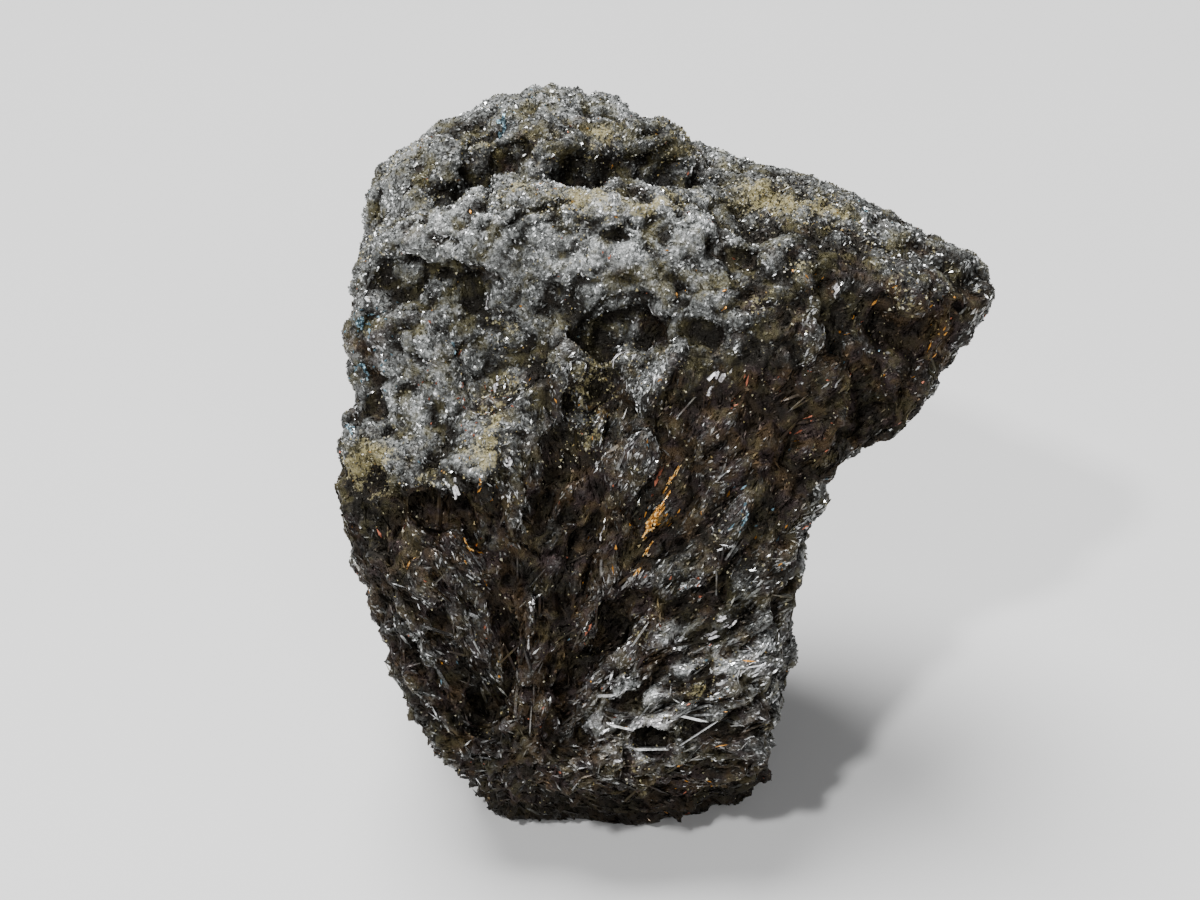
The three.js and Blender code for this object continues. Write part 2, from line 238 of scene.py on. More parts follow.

# Places with a colour, as a point, a reach and a strength; some are painted shade and painted highlight.
SPOTS = {
    "gold": [
        ((-6, -8, 39), 1.2, 1),
        ((-1, -12.5, 31), 1.1, 1.3),
        ((-1.5, -13, 29), 0.9, 1.2),
        ((-0.5, -12, 32.5), 0.9, 1),
        ((-15, -14, 35), 1.3, 0.6),
        ((-16.5, -14, 34.4), 1.2, 0.5),
        ((-16, -14, 29.5), 1.2, 0.8),
        ((15, -5, 45), 1.1, 0.8),
        ((23.5, -2.5, 44), 1.6, 0.8),
        ((8, -15, 26.5), 1.1, 0.6),
        ((3, -21, 10), 2.4, 0.5),
        ((10.5, -4.5, 49), 1.4, 0.7),
        ((18, -5.5, 42), 1.4, 0.5),
        ((-10.5, 3, 54), 0.9, 0.8),
    ],
    "copper": [
        ((-17.5, -8, 41.5), 0.9, 0.8),
        ((-17, -8.5, 40.5), 2.4, 0.5),
        ((-14, -6.5, 41), 1.6, 0.7),
        ((-27, -7, 35), 0.8, 0.8),
        ((-1.5, -13.5, 27), 1, 0.8),
        ((4, -7.5, 41), 1.6, 0.5),
        ((-21, -17, 27.5), 1, 0.5),
        ((2, -15, 27), 1.5, 0.5),
        ((-6, -15.5, 24), 1.2, 0.5),
        ((12.5, -9.5, 38), 3, 0.3),
    ],
    "blue": [
        ((-13.5, 12.5, 54), 1, 1.5),
        ((6.5, -13.5, 32), 1.8, 0.7),
        ((-24.5, -3.5, 44.5), 1.8, 1.1),
        ((-24.5, -5, 41), 1.8, 1.1),
        ((16.5, 7, 48.5), 1.4, 0.7),
        ((-10, 15.5, 55), 1.5, 0.5),
    ],
    "pale": [
        ((-11.5, 1.3, 54.4), 0.9, 0.5),
        ((-6.7, 1, 54.2), 1.2, 0.5),
        ((3.5, 6, 51.8), 1.2, 0.5),
        ((-2, 1, 53.5), 1.3, 0.9),
        ((-0.5, 1.8, 53.5), 1.1, 0.9),
        ((1, 3.6, 53), 0.9, 0.7),
    ],
    "dust": [
        ((-15.5, 9.5, 53.5), 1.5, 0.8),
        ((-5, 10.5, 54), 1.6, 0.8),
        ((1, 11.5, 53), 2, 0.8),
        ((-10, 8.5, 54), 1.5, 0.8),
        ((7, 8.5, 50.5), 2.2, 1.1),
        ((10, 7, 50), 2.6, 1.1),
        ((14, 5.5, 49.5), 1.6, 1),
        ((10, -3, 50), 1, 1),
        ((7.5, -5, 47), 1.2, 0.9),
        ((-18.5, 6, 51.5), 1.6, 0.8),
        ((-13.5, 1, 54.5), 1.6, 0.6),
        ((-8.5, 1.5, 53.5), 1.8, 0.8),
        ((-5.5, 0.5, 54.5), 2, 0.7),
        ((-25.5, -10, 35), 1.6, 1),
        ((-23.5, -11, 35.5), 1.8, 0.9),
        ((-19, -13.5, 35.5), 1.4, 0.9),
        ((-15, -12, 38.5), 1.5, 1.1),
        ((-13.5, -10.5, 39.5), 1.2, 1),
        ((-15, -8, 40), 1, 0.8),
        ((-12.5, -7, 40.5), 1.2, 0.7),
        ((-6, -7.5, 41), 2, 0.8),
        ((-7, -9, 37), 1.8, 0.8),
        ((-4, -6, 43.5), 2, 0.6),
        ((-13.5, -5, 44), 1.6, 0.6),
        ((-2, -16.5, 22.5), 1, 0.9),
        ((4, -18.5, 21), 1.4, 0.8),
        ((3, -19, 19), 1.2, 0.9),
        ((-2.5, -21.5, 12), 1.8, 0.5),
        ((19, -4, 48), 1.6, 0.6),
        ((17.5, 2.5, 48), 1.4, 0.5),
        ((-22.5, 11, 51.5), 1.8, 0.6),
        ((-24, 2.5, 49), 1.6, 0.6),
    ],
    # Brown tarnish, which darkens the metal, partly as painted shade on the lower front and left rim.
    "brown": [
        ((-12, 10, 54), 4, 0.8),
        ((-3, 10, 54), 4, 0.8),
        ((4, 12, 51.5), 3, 0.6),
        ((20, -2, 45.5), 5, 0.8),
        ((-25, -3, 42), 4, 1.4),
        ((-18.5, -15.5, 29.5), 5, 1),
        ((-12, -16.5, 22), 6, 1),
        ((-5.5, -13, 31.5), 5, 0.8),
        ((-9, -19.5, 13.5), 6, 1),
        ((2, -10, 37.5), 4.5, 0.9),
        ((8, -9, 40.5), 5, 0.9),
        ((10.5, -11, 35.5), 4, 0.9),
        ((-2, -16.5, 22), 4, 0.7),
        ((17, -6.5, 41), 5, 0.9),
        ((2, -19, 7.5), 6, 0.9),
        ((-8, -11, 34.5), 3.5, 0.6),
        ((23, -2.5, 43), 3, 0.8),
        ((-2, -4, 44), 3, 0.4),
        ((-15, -3, 48.5), 3, 0.4),
    ],
    # Painted shade: darker on and under the beak, and on the left rim below the ledge.
    "dark": [
        ((20, -4, 43), 6, 0.8),
        ((17, -7.5, 38.5), 4, 0.8),
        ((24.5, -1, 43), 3, 0.5),
        ((26, 1.5, 44.5), 1.5, 0.6),
        ((-24.5, -12.5, 30), 5, 0.9),
        ((-27, -9, 33), 2.5, 0.6),
    ],
    # Painted highlight: lighter, brighter steel where light falls on the crown's rim, the shoulder and the
    # fan.
    "silver": [
        ((-23.5, 7, 50.5), 1.8, 0.6),
        ((-20, 14, 52.5), 2.4, 0.7),
        ((-15.5, 18.5, 53), 2.4, 0.8),
        ((-3, 17, 52.5), 2.4, 0.7),
        ((-2, -19, 17), 5, 1.1),
        ((4.5, -18, 23.5), 3.5, 1),
        ((2, -17.5, 21), 3, 0.8),
        ((-2, -20.5, 15.5), 3, 1),
        ((-6.5, -21.5, 14), 3, 0.9),
        ((-8.5, -15, 28), 2, 0.8),
        ((-12.5, -14.5, 30.5), 1.8, 0.6),
        ((-5.5, -1, 53), 6, 0.5),
        ((-17.5, 0.5, 52.5), 5, 0.7),
        ((2.5, 1.5, 52), 5, 0.6),
        ((-22, -7, 39.5), 5, 0.6),
        ((-8.5, -2, 50.5), 6, 0.4),
        ((10.5, -8.5, 9), 4, 0.6),
        ((-15, -13, 37), 2.5, 0.5),
        ((-9.5, 15.5, 55), 4, 0.8),
        ((3, 16, 49.5), 4, 0.5),
        ((1, -5.5, 45), 4, 0.3),
        ((9.5, -12, 21), 3.5, 0.8),
        ((9.5, -13, 15), 3.5, 0.8),
        ((11, -13, 9), 3, 0.7),
        ((4, -18, 18), 4, 1.0),
        ((7, -15, 22), 3, 0.9),
        ((-4, -20, 17), 3, 0.8),
        ((-1, -15, 26), 2.5, 0.6),
        ((-18, -15, 25), 3, 0.4),
        ((-15, -17, 20), 2.5, 0.4),
        ((-13.5, -19, 15), 2.5, 0.5),
    ],
}

# Small groups of bright blades that catch the eye: how the blades of a group spread, and for each group a
# point, a length and a width.
GLINT_GROUP = 7
GLINT = {
    "width": (0.3, 0.8),
    "length": (0.25, 0.7),
    "along": 0.35,
    "aside": 0.5,
    "lean": 0.12,
    "rise": 0.1,
    "proud": 0.16,
    "roll": 0.4,
    "flatness": 0.4,
}
GOLD_GLINTS = [
    ((0.6, -11.2, 35), 1.1, 0.15),
    ((0.1, -11.6, 33.8), 1.3, 0.2),
    ((-0.5, -12, 32.5), 1.2, 0.3),
    ((-0.8, -12.2, 32), 1.6, 0.35),
    ((-1.1, -12.5, 31), 1.8, 0.4),
    ((-1.5, -12.8, 30.2), 1.4, 0.35),
    ((-1.2, -12.6, 30.6), 1.2, 0.3),
    ((-1.9, -13.3, 28.6), 1.0, 0.25),
    ((-2.4, -13.9, 27.4), 1.2, 0.25),
    ((-16.2, -14, 29.5), 1.2, 0.25),
    ((-16.5, -14.2, 28.2), 0.9, 0.2),
    ((-15, -13, 36.2), 0.8, 0.2),
    ((-21.5, -16, 30), 0.8, 0.2),
]
BLUE_GLINTS = [
    ((-13.5, 12.5, 54), 1.2, 0.7),
    ((-24.6, -3.5, 44.5), 1.2, 0.5),
    ((-24.6, -5, 41), 1.2, 0.5),
    ((-26, -8, 38), 0.9, 0.3),
    ((6.5, -13.5, 32), 1.2, 0.3),
    ((16.5, 7, 48.5), 0.8, 0.4),
]
GLINTS = [
    ((4, -7.5, 42), 1.5, 0.7),
    ((4, -17.5, 23.5), 2.1, 0.5),
    ((4.5, -17.5, 24.5), 1, 0.4),
    ((-1, -20.5, 16.5), 1.6, 0.6),
    ((-2, -20.5, 16), 1.2, 0.4),
    ((-15.5, -3.5, 46.5), 0.9, 0.3),
    ((-4.5, -5.5, 43.5), 1.4, 0.2),
    ((13.5, -4.5, 48.5), 1, 0.3),
    ((-3.5, -21.5, 13), 0.8, 0.4),
    ((-13.5, -6.5, 41), 1, 0.6),
    ((-6, -13, 30.5), 0.9, 0.3),
    ((-10.5, -16.5, 26), 0.7, 0.4),
    ((-12.5, -13, 37.5), 0.6, 0.5),
    ((-17, -14, 35.5), 1.6, 0.4),
    ((16.5, 5, 48.5), 1, 0.5),
    ((-15, -9, 39.5), 0.7, 0.4),
]


def between(low_high, share):
    """The value at a share of the way from the low to the high end of a range."""
    low, high = low_high
    return low + (high - low) * share


def smooth_step(low, high, values):
    """0 below low, 1 above high, and a soft ramp between them."""
    share = np.clip((values - low) / (high - low), 0, 1)
    return share * share * (3 - 2 * share)


def unit(vectors):
    """The same directions, one long."""
    return vectors / np.maximum(np.linalg.norm(vectors, axis=-1, keepdims=True), 1e-9)


def scatter(cells, pattern):
    """A number from 0 to 1 that always comes out the same for the same cell. Its constants only scramble."""
    mixed = cells @ np.array([127.1, 311.7, 74.7]) + pattern * 269.5
    return np.mod(np.sin(mixed) * 43758.5453, 1.0)


def soft_noise(points, pattern):
    """Smooth noise from -1 to 1, with lumps about one unit wide."""
    cell = np.floor(points)
    share = smooth_step(0, 1, points - cell)
    total = np.zeros(len(points))
    for corner in itertools.product((0, 1), repeat=3):
        weight = np.prod(np.where(corner, share, 1 - share), axis=1)
        total += weight * scatter(cell + np.array(corner), pattern)
    return total * 2 - 1


def layered(points, layers):
    """The sum of a few layers of smooth noise."""
    return sum(soft_noise(points / size, pattern) * strength for size, strength, pattern in layers)


def cell_noise(points, pattern):
    """How far each point is inside its cell, from 0 at the wall, and a random number of the cell."""
    cell = np.floor(points)
    nearest = np.full(len(points), np.inf)
    second = np.full(len(points), np.inf)
    lot = np.zeros(len(points))
    for step in itertools.product((-1, 0, 1), repeat=3):
        other = cell + np.array(step)
        centre = other + np.stack([scatter(other, pattern + k) for k in (1, 2, 3)], axis=1)
        distance = np.linalg.norm(centre - points, axis=1)
        closer = distance < nearest
        second = np.where(closer, nearest, np.minimum(second, distance))
        nearest = np.where(closer, distance, nearest)
        lot = np.where(closer, scatter(other, pattern + 4), lot)
    return second - nearest, lot


def from_root(points):
    """The way from the needles' root to each point."""
    share = smooth_step(*BACK_BAND, points[:, 1])[:, None]
    return points - ROOT - (BACK_ROOT - ROOT) * share


def along_needles(points, width, length):
    """Points in a space where noise comes out as streaks that run away from the root.

    The streaks are about width wide at STREAK_DISTANCE from the root, and length long.
    """
    away = from_root(points)
    distance = np.linalg.norm(away, axis=1, keepdims=True)
    return away / distance * (STREAK_DISTANCE / width) + distance / length * STREAK_WAY


def wandering(points, size, amount):
    """The points, each moved a little, so that what is drawn at them wanders."""
    return points + amount * np.stack([soft_noise(points / size, k) for k in WANDER_PATTERNS], axis=1)


def streaks(points, kind):
    """For each point, how far it is inside its streak of a kind, and a random number of the streak."""
    return cell_noise(along_needles(points, *kind["streaks"]), kind["pattern"])


def bundles(points):
    """For each point, how far it is inside its bundle of needles, and a random number of the bundle."""
    return streaks(wandering(points, *BUNDLE_WANDER), BUNDLES)


def near_spots(points, spots):
    """How much each point lies in any of the places, from 0 to about 1."""
    total = np.zeros(len(points))
    for place, reach, strength in spots:
        gap = np.linalg.norm(points - np.array(place), axis=1) / reach
        total += strength * np.exp(-gap * gap)
    return total


def apply_to_mesh(piece, modifier):
    """Makes what a modifier does part of the piece's own mesh."""
    graph = bpy.context.evaluated_depsgraph_get()
    mesh = bpy.data.meshes.new_from_object(piece.evaluated_get(graph))
    piece.modifiers.remove(modifier)
    piece.data = mesh


def points_of(mesh):
    """A mesh's points, in millimetres."""
    points = np.empty(len(mesh.vertices) * 3)
    mesh.vertices.foreach_get("co", points)
    return points.reshape(-1, 3) / MM


def move_points(mesh, points):
    """Puts a mesh's points where the array says, in millimetres."""
    mesh.vertices.foreach_set("co", (points * MM).ravel())
    mesh.update()


def normals_of(mesh):
    """The outward direction at each of a mesh's points."""
    normals = np.empty(len(mesh.vertices) * 3)
    mesh.vertex_normals.foreach_get("vector", normals)
    return normals.reshape(-1, 3)


def store(mesh, name, values):
    """Keeps a number for each point of a mesh, which its material reads by name."""
    mesh.attributes.new(name, "FLOAT", "POINT").data.foreach_set("value", values.astype(np.float32))


def softened(mesh, points, rounds):
    """The points after each has moved towards the middle of its neighbours a few times."""
    edges = np.empty(len(mesh.edges) * 2, dtype=int)
    mesh.edges.foreach_get("vertices", edges)
    one, other = edges.reshape(-1, 2).T
    count = np.bincount(edges, minlength=len(points))[:, None]
    for _ in range(rounds):
        total = np.zeros_like(points)
        for axis in range(3):
            total[:, axis] += np.bincount(one, points[other, axis], len(points))
            total[:, axis] += np.bincount(other, points[one, axis], len(points))
        points = points + (total / count - points) * 0.5
    return points


def graininess(points, normals):
    """How broken into grains the surface is: 0 where needles lie along it, and 1 where they end or tumble."""
    away = from_root(points)
    ends = smooth_step(*END_FACING, np.sum(unit(away) * normals, axis=1))
    ends *= smooth_step(*END_REACH, np.linalg.norm(away, axis=1))
    ends *= smooth_step(*END_BAND, layered(points, END_PATCHES))
    level = points[:, 2] - GRAIN_LEVEL - GRAIN_RISE * (points[:, 0] - GRAIN_LEVEL_AT)
    level += layered(points, GRAIN_EDGE)
    level += layered(points, GRAIN_EDGE_BEHIND) * smooth_step(*BACK_BAND, points[:, 1])
    return np.maximum(ends, smooth_step(*GRAIN_BAND, level))


def crag_relief(points):
    """How far the crags stand out of the smooth lump, and the cracks lie in it."""
    height = layered(points, SWELLS)
    wobble = layered(points, CRAG_WOBBLE) + 1
    bent = wandering(points, *CRAG_WANDER)
    for start, end, reach, most in CRAGS:
        start, along = np.array(start), np.array(end) - np.array(start)
        share = np.clip((bent - start) @ along / (along @ along), 0, 1)
        gap = np.linalg.norm(bent - start - share[:, None] * along, axis=1) / (reach * wobble)
        height += most * np.exp(-gap * gap)
    return height


def pits(points, kind):
    """1 inside the pits of a kind, and 0 outside them."""
    cells = points / kind["size"]
    warp = soft_noise(cells * PIT_WARP_SCALE, kind["pattern"] + 7)[:, None] * PIT_WARP
    inside, lot = cell_noise(cells + warp, kind["pattern"])
    return smooth_step(*PIT_RIM, inside) * (lot < kind["share"])


def ridges(streak, kind, streaky):
    """The relief of ridges of a kind along the needles, each with a height of its own."""
    inside, lot = streak
    seams = (smooth_step(0, kind["edge"], inside) - RIDGE_TOP) * kind["seam"]
    return (seams + (lot - 0.5) * kind["uneven"]) * between((RIDGE_IN_GRAINS, 1), streaky)


def creases(noise, sharpness):
    """1 along the lines where noise passes through 0, and 0 away from them."""
    return np.clip(1 - np.abs(noise) * sharpness, 0, 1)


def lump_relief(points, grainy):
    """How far the broken surface stands out of the smooth lump: bundles, streaks, grains and pits."""
    streaky = 1 - grainy
    relief = ridges(bundles(points), BUNDLES, streaky) + ridges(streaks(points, RIDGES), RIDGES, streaky)
    fibres = soft_noise(along_needles(points, *FIBRES["streaks"]), FIBRES["pattern"])
    relief += fibres * FIBRES["height"] * streaky
    for width, depth, pattern in GROOVES:
        along = soft_noise(along_needles(points, width, width * GROOVE_LENGTH), pattern)
        relief -= creases(along, GROOVE_SHARPNESS) * depth * streaky
    relief += layered(points, BUMPS) * (BUMPS_IN_STREAKS + grainy)
    relief += layered(points, GRAINS) * (GRAINS_IN_STREAKS + grainy)
    broken = (VALLEYS_IN_STREAKS + grainy) * smooth_step(*VALLEY_BAND, layered(points, VALLEY_PATCHES))
    for size, depth, pattern in VALLEYS:
        relief -= creases(soft_noise(points / size, pattern), VALLEY_SHARPNESS) * depth * broken
    pitted = smooth_step(*PIT_BAND, layered(points, PIT_PATCHES))
    relief -= pits(points, WIDE_PITS) * WIDE_PIT_DEPTH * pitted
    relief -= pits(points, SMALL_PITS) * SMALL_PIT_DEPTH * (PITS_IN_STREAKS + grainy) * pitted
    return relief


def remeshed(piece, voxel):
    """Gives a piece an even skin, and returns its points, softened, and the outward directions there."""
    remesh = piece.modifiers.new("even_skin", "REMESH")
    remesh.mode = "VOXEL"
    remesh.voxel_size = voxel * MM
    apply_to_mesh(piece, remesh)
    points = softened(piece.data, points_of(piece.data), SOFTENING_ROUNDS)
    move_points(piece.data, points)
    return points, normals_of(piece.data)


def raised(mesh, points, normals, height):
    """Moves a mesh's points outward, least near the floor, and never through it."""
    fade = smooth_step(0, BASE_FADE, points[:, 2])
    points = softened(mesh, points + normals * (height * fade)[:, None], 1)
    points[:, 2] = np.maximum(points[:, 2], 0)
    move_points(mesh, points)
    return points


def hollowness(mesh, points):
    """How far each point lies below the surface about it, from 0 to 1."""
    below = np.sum((softened(mesh, points, HOLLOW_ROUNDS) - points) * normals_of(mesh), axis=1)
    return np.clip(below / HOLLOW_DEPTH, 0, 1)


def make_lump():
    """The lump: the solid's form, with crags and cracks, remeshed finely and broken up."""
    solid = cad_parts["stibnite_cluster"]
    shape = bmesh.new()
    shape.from_mesh(solid.data)
    bmesh.ops.remove_doubles(shape, verts=shape.verts, dist=0.001 * MM)
    mesh = bpy.data.meshes.new("lump")
    shape.to_mesh(mesh)
    shape.free()
    lump = bpy.data.objects.new("lump", mesh)
    bpy.context.scene.collection.objects.link(lump)
    points, normals = remeshed(lump, COARSE_VOXEL)
    raised(lump.data, points, normals, crag_relief(points))
    points, normals = remeshed(lump, VOXEL)
    mesh = lump.data
    crack = np.maximum(0, -crag_relief(points) - CRACK_START)
    grainy = graininess(points, normals)
    relief = lump_relief(points, grainy)
    points = raised(mesh, points, normals, relief)
    store(mesh, "grainy", grainy)
    # Painted shade: darker at the foot, fading upward, in the cracks and in the hollows between the crags.
    shade = (1 - smooth_step(*FOOT_SHADE_BAND, points[:, 2])) * FOOT_SHADE
    deep = np.maximum(shade, smooth_step(*CRACK_SHADE_BAND, crack - relief))
    store(mesh, "deep", deep + hollowness(mesh, points) * HOLLOW_SHADE)
    store_zones(mesh, points)
    return lump


def stored_values(mesh, name):
    """The numbers that store kept for a mesh's points."""
    values = np.empty(len(mesh.vertices), dtype=np.float32)
    mesh.attributes[name].data.foreach_get("value", values)
    return values


def surface_samples(mesh, count):
    """Evenly scattered points on a mesh, the outward directions, how grainy, and the painted shade there."""
    points = points_of(mesh)
    mesh.calc_loop_triangles()
    corners = np.empty(len(mesh.loop_triangles) * 3, dtype=int)
    mesh.loop_triangles.foreach_get("vertices", corners)
    corners = corners.reshape(-1, 3)
    a, b, c = (points[k] for k in corners.T)
    out = np.cross(b - a, c - a)
    area = np.linalg.norm(out, axis=1)
    chosen = random.choice(len(area), count, p=area / area.sum())
    one, two = np.sqrt(random.random((count, 1))), random.random((count, 1))
    places = a[chosen] * (1 - one) + b[chosen] * one * (1 - two) + c[chosen] * one * two
    first = corners[chosen, 0]
    grainy, deep = (stored_values(mesh, name)[first] for name in ("grainy", "deep"))
    return places, unit(out[chosen]), grainy, deep


def needle_form():
    """One needle along +Z, a unit wide and long, three-sided, with its tip at the origin."""
    shape = bmesh.new()
    bmesh.ops.create_circle(shape, cap_ends=True, segments=3, radius=0.5)
    foot = list(shape.faces)
    bmesh.ops.translate(shape, verts=shape.verts, vec=(0, 0, -1))
    wall = bmesh.ops.extrude_face_region(shape, geom=foot)
    shoulder = [item for item in wall["geom"] if isinstance(item, bmesh.types.BMVert)]
    bmesh.ops.translate(shape, verts=shoulder, vec=(0, 0, 1 - TIP_SHARE))
    edges = [e for e in shape.edges if all(v in shoulder for v in e.verts)]
    point = bmesh.ops.extrude_edge_only(shape, edges=edges)
    tip = [item for item in point["geom"] if isinstance(item, bmesh.types.BMVert)]
    bmesh.ops.pointmerge(shape, verts=tip, merge_co=(0, 0, 0))
    inner = [f for f in shape.faces if all(v in shoulder for v in f.verts)]
    bmesh.ops.delete(shape, geom=inner, context="FACES_ONLY")
    bmesh.ops.triangulate(shape, faces=shape.faces)
    bmesh.ops.recalc_face_normals(shape, faces=shape.faces)
    return shape


def splinter_form():
    """One splinter along +Z, a unit wide and long: three-sided, pointed at both ends, tip at the origin."""
    shape = bmesh.new()
    belt = bmesh.ops.create_circle(shape, cap_ends=False, segments=3, radius=0.5)["verts"]
    bmesh.ops.translate(shape, verts=belt, vec=(0, 0, -BELT))
    edges = list(shape.edges)
    for end in (0, -1):
        cone = bmesh.ops.extrude_edge_only(shape, edges=edges)
        verts = [item for item in cone["geom"] if isinstance(item, bmesh.types.BMVert)]
        bmesh.ops.pointmerge(shape, verts=verts, merge_co=(0, 0, end))
    bmesh.ops.recalc_face_normals(shape, faces=shape.faces)
    return shape


def form_arrays(shape):
    """A small form's points and triangles as arrays."""
    shape.verts.index_update()
    points = np.array([v.co for v in shape.verts])
    triangles = np.array([[v.index for v in f.verts] for f in shape.faces])
    assert all(len(e.link_faces) == 2 for e in shape.edges)
    shape.free()
    return points, triangles


def frames_on(out, axis, roll):
    """Three directions for each small form: across, outward and along its axis, turned by roll about it."""
    across = unit(np.cross(axis, out) + 1e-4)
    flat = np.cross(across, axis)
    cos, sin = np.cos(roll)[:, None], np.sin(roll)[:, None]
    return across * cos + flat * sin, flat * cos - across * sin, axis


def small_cells(mesh, count, faces):
    """A map for the bake: each small form has a cell of its own, which all its triangles share."""
    across = math.ceil(math.sqrt(count))
    form = np.arange(count)
    corner = np.stack([form % across, form // across], axis=1)[:, None, None]
    triangle = np.array([[0.1, 0.1], [0.9, 0.1], [0.1, 0.9]])
    cells = (corner + np.broadcast_to(triangle, (count, faces, 3, 2))) / across
    mesh.uv_layers.new(name="OFBake").uv.foreach_set("vector", cells.ravel())


def joined(name, form, centres, axes, sizes):
    """Many copies of a small form as one mesh, and for each point the number of its copy."""
    form_points, form_triangles = form
    count = len(centres)
    places = centres[:, None] + sum(
        axes[k][:, None] * (form_points[:, k][None, :, None] * sizes[k][:, None, None]) for k in range(3)
    )
    places[:, :, 2] = np.maximum(places[:, :, 2], LEAST_HEIGHT)
    shift = np.arange(count)[:, None, None] * len(form_points)
    mesh = bpy.data.meshes.new(name)
    mesh.from_pydata(
        (places * MM).reshape(-1, 3).tolist(), [], (form_triangles[None] + shift).reshape(-1, 3).tolist()
    )
    small_cells(mesh, count, len(form_triangles))
    piece = bpy.data.objects.new(name, mesh)
    bpy.context.scene.collection.objects.link(piece)
    return piece, np.repeat(np.arange(count), len(form_points))


def store_zones(mesh, places, whose=slice(None)):
    """Keeps on a mesh how much each of its points belongs to each of the coloured places."""
    for wander in ZONE_WANDERS:
        places = wandering(places, *wander)
    for name, spots in SPOTS.items():
        store(mesh, name, near_spots(places, spots)[whose])


def sunk_feet(skin, feet, sink):
    """Each foot moved to just below the lump's surface, so that its needle hugs the lump."""
    moved = np.empty_like(feet)
    for i, foot in enumerate(feet * MM):
        near, out, _, _ = skin.find_nearest(foot)
        moved[i] = (near - out * (sink[i] * MM)) / MM
    return moved


def make_needles(lump, skin, name, count, form, kind):
    """A layer of needles all over the lump, which point away from the root, each bundle with its own lean."""
    places, out, grainy, deep = surface_samples(lump.data, count)
    _, bundle = bundles(places)
    _, streak = streaks(places, BRIGHT_STREAKS)
    lean = np.stack([np.sin(bundle * turn) for turn in LEAN_TURNS], axis=1) * BUNDLE_LEAN
    tumble = (kind["lean"] + kind["tumble"] * grainy)[:, None] * random.normal(0, 1, (count, 3))
    axis = unit(from_root(places)) + lean
    axis -= out * (np.maximum(np.sum(axis * out, axis=1), 0) * (1 - grainy) * PRESSED)[:, None]
    axis = unit(unit(axis) + tumble)
    axis *= np.where(np.sum(axis * out, axis=1) < -0.1, -1, 1)[:, None]
    lying = between(kind["lying"], random.random(count) ** 2)
    length = lying + (between(kind["grain"], random.random(count)) - lying) * grainy
    width = between(kind["width"], random.random(count) ** 1.6)
    tip = places + out * between(kind["proud"], random.random(count) ** 2)[:, None]
    foot = sunk_feet(skin, tip - axis * length[:, None], between(kind["sink"], random.random(count)))
    length = np.maximum(np.linalg.norm(tip - foot, axis=1), LEAST_LENGTH)
    axis = unit(tip - foot)
    kept = (random.random(count) > deep * THINNED) & (places[:, 2] > FOOT_CLEAR)
    roll = (random.random(count) - 0.5) * (2 + grainy * 4)
    axes = [a[kept] for a in frames_on(out, axis, roll)]
    sizes = [width[kept], (width * FLATNESS)[kept], length[kept]]
    piece, whose = joined(name, form, tip[kept], axes, sizes)
    store_zones(piece.data, places[kept], whose)
    store(piece.data, "lot", random.random(kept.sum())[whose])
    store(piece.data, "streak", ((streak + bundle - 1) * (1 - grainy))[kept][whose])
    store(piece.data, "grainy", grainy[kept][whose])
    store(piece.data, "deep", deep[kept][whose])
    return piece


def laid_along(skin, points):
    """The places on the lump nearest to the points, the way out, and the needles' way along the lump."""
    near = [skin.find_nearest(point) for point in points * MM]
    places = np.array([hit[0] for hit in near]) / MM
    out = np.array([hit[1] for hit in near])
    axis = from_root(places)
    return places, out, unit(axis - out * np.sum(axis * out, axis=1)[:, None])


def make_glints(skin, form, name, glints):
    """Small groups of bright blades, laid along the needles on the lump."""
    spots = np.repeat(np.array([place for place, _, _ in glints], dtype=float), GLINT_GROUP, axis=0)
    length = np.repeat([long for _, long, _ in glints], GLINT_GROUP)
    width = np.repeat([wide for _, _, wide in glints], GLINT_GROUP)
    count = len(spots)
    width = width * between(GLINT["width"], random.random(count))
    places, out, axis = laid_along(skin, spots)
    along = random.normal(0, GLINT["along"], count) * length
    aside = random.normal(0, GLINT["aside"], count) * width
    moved = places + axis * along[:, None] + np.cross(axis, out) * aside[:, None]
    places, out, axis = laid_along(skin, moved)
    axis = unit(axis + random.normal(0, GLINT["lean"], (count, 3)) + out * GLINT["rise"])
    length = length * between(GLINT["length"], random.random(count))
    tip = places + axis * length[:, None] / 2 + out * GLINT["proud"]
    axes = frames_on(out, axis, random.normal(0, GLINT["roll"], count))
    piece, _ = joined(name, form, tip, axes, [width, width * GLINT["flatness"], length])
    return piece


def make_crumbs(lump, form):
    """Crumbs of pale matrix, thickest in the dusty places and thin everywhere else."""
    places, out, _, _ = surface_samples(lump.data, CRUMB_TRIES)
    cloud = smooth_step(*CLOUD_BAND, layered(places, DUST_CLOUDS))
    wanted = near_spots(places, SPOTS["dust"]) + near_spots(places, SPOTS["pale"])
    wanted += cloud * CRUMBS_IN_CLOUDS + CRUMBS_ELSEWHERE
    kept = (random.random(CRUMB_TRIES) < wanted * CRUMB_SHARE) & (places[:, 2] > CRUMB_FLOOR)
    places, out = places[kept], out[kept]
    count = len(places)
    size = between(CRUMB_SIZE, random.random(count) ** 2)
    axis = unit(random.normal(0, 1, (count, 3)))
    axes = frames_on(out, axis, random.random(count) * math.tau)
    sizes = [size * between(CRUMB_UNEVEN, random.random(count)) for _ in range(3)]
    centres = places + out * (size * CRUMB_OUT)[:, None] + axis * (size * CRUMB_TIP)[:, None]
    piece, whose = joined("matrix_crumbs", form, centres, axes, sizes)
    store(piece.data, "lot", random.random(count)[whose])
    store_zones(piece.data, places, whose)
    return piece


